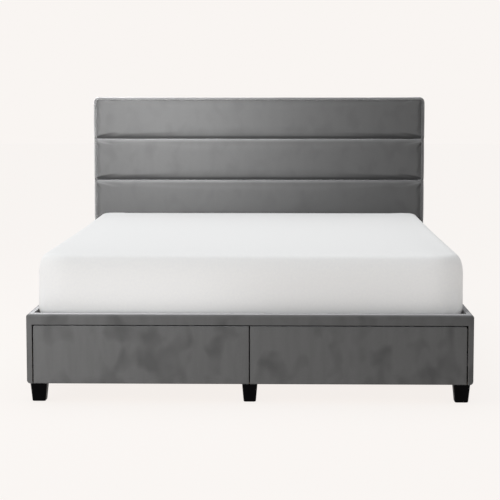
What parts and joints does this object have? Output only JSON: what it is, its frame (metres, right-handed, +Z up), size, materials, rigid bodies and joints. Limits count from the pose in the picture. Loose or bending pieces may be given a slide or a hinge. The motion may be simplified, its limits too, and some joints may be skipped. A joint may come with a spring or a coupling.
{
  "type": "platform bed with storage drawers",
  "caption": "Low queen bed with a channel-padded headboard, velvet-wrapped rails, wide storage drawers across the foot on ball slides, slatted deck and a lift-off mattress.",
  "frame": {"origin": "on the floor, at the centre of the bed's outline seen from above", "axes": "+Z up, +Y from the foot of the bed to the headboard, +X to the right seen from the foot"},
  "size_m": [1.59, 2.164, 1.084],
  "materials": {
    "channel_velvet": "grey velvet over foam",
    "rail_velvet": "grey velvet, brushed nap",
    "nonwoven_lining": "black non-woven",
    "black_leg_plastic": "satin black moulded",
    "black_steel": "black powder coat",
    "zinc_steel": "zinc plated",
    "webbing": "woven polypropylene",
    "mattress_knit": "white knit ticking",
    "pine": "planed softwood",
    "plywood": "sanded plywood",
    "hardboard": "smooth hardboard"
  },
  "bodies": {
    "frame": {"side_rail_left": "plywood", "side_rail_right": "plywood", "side_rail_cover_left": "rail_velvet", "side_rail_cover_right": "rail_velvet", "slat_ledger_left": "pine", "slat_ledger_right": "pine", "foot_rail": "pine", "foot_rail_cover": "rail_velvet", "bottom_rail_front": "pine", "bottom_rail_middle": "pine", "drawer_divider": "plywood", "center_beam": "pine", "center_posts": "pine", "slats": "pine", "slat_straps": "webbing", "leg_foot_left": "black_leg_plastic", "leg_foot_center": "black_leg_plastic", "leg_foot_right": "black_leg_plastic", "leg_middle": "black_leg_plastic", "leg_head_left": "black_leg_plastic", "leg_head_right": "black_leg_plastic", "headboard_channel_1": "channel_velvet", "headboard_channel_2": "channel_velvet", "headboard_channel_3": "channel_velvet", "headboard_channel_4": "channel_velvet", "headboard_base_pad": "channel_velvet", "headboard_panel": "plywood", "headboard_upright_left": "pine", "headboard_upright_right": "pine", "headboard_side_wrap_left": "channel_velvet", "headboard_side_wrap_right": "channel_velvet", "headboard_rail_top": "pine", "headboard_rail_bottom": "pine", "headboard_top_wrap": "channel_velvet", "headboard_back": "nonwoven_lining", "drawer_left_slides_frame": "zinc_steel", "drawer_right_slides_frame": "zinc_steel", "head_brackets": "black_steel", "bracket_bolts": "zinc_steel", "frame_screws": "zinc_steel", "leg_studs": "zinc_steel"},
    "mattress": {"mattress": "mattress_knit"},
    "drawer_left": {"drawer_left_front_board": "plywood", "drawer_left_front_cover": "rail_velvet", "drawer_left_side_outer": "plywood", "drawer_left_side_inner": "plywood", "drawer_left_box_front": "plywood", "drawer_left_box_back": "plywood", "drawer_left_box_floor": "hardboard", "drawer_left_slides_box": "zinc_steel"},
    "drawer_left_slide_middles": {"drawer_left_slides_middle": "zinc_steel"},
    "drawer_right": {"drawer_right_front_board": "plywood", "drawer_right_front_cover": "rail_velvet", "drawer_right_side_outer": "plywood", "drawer_right_side_inner": "plywood", "drawer_right_box_front": "plywood", "drawer_right_box_back": "plywood", "drawer_right_box_floor": "hardboard", "drawer_right_slides_box": "zinc_steel"},
    "drawer_right_slide_middles": {"drawer_right_slides_middle": "zinc_steel"}
  },
  "joints": [
    {"name": "drawer_left_slide", "type": "slide", "parent": "frame", "child": "drawer_left", "axis": [0, -1, 0], "range_m": [0, 0.45]},
    {"name": "drawer_left_middle_slide", "type": "slide", "parent": "frame", "child": "drawer_left_slide_middles", "axis": [0, -1, 0], "range_m": [0, 0.225]},
    {"name": "drawer_right_slide", "type": "slide", "parent": "frame", "child": "drawer_right", "axis": [0, -1, 0], "range_m": [0, 0.45]},
    {"name": "drawer_right_middle_slide", "type": "slide", "parent": "frame", "child": "drawer_right_slide_middles", "axis": [0, -1, 0], "range_m": [0, 0.225]},
    {"name": "mattress_lift", "type": "slide", "parent": "frame", "child": "mattress", "axis": [0, 0, 1], "range_m": [0, 0.6]}
  ],
  "couplings": [
    {"joint": "drawer_left_middle_slide", "follows": "drawer_left_slide", "ratio": 0.5},
    {"joint": "drawer_right_middle_slide", "follows": "drawer_right_slide", "ratio": 0.5}
  ]
}
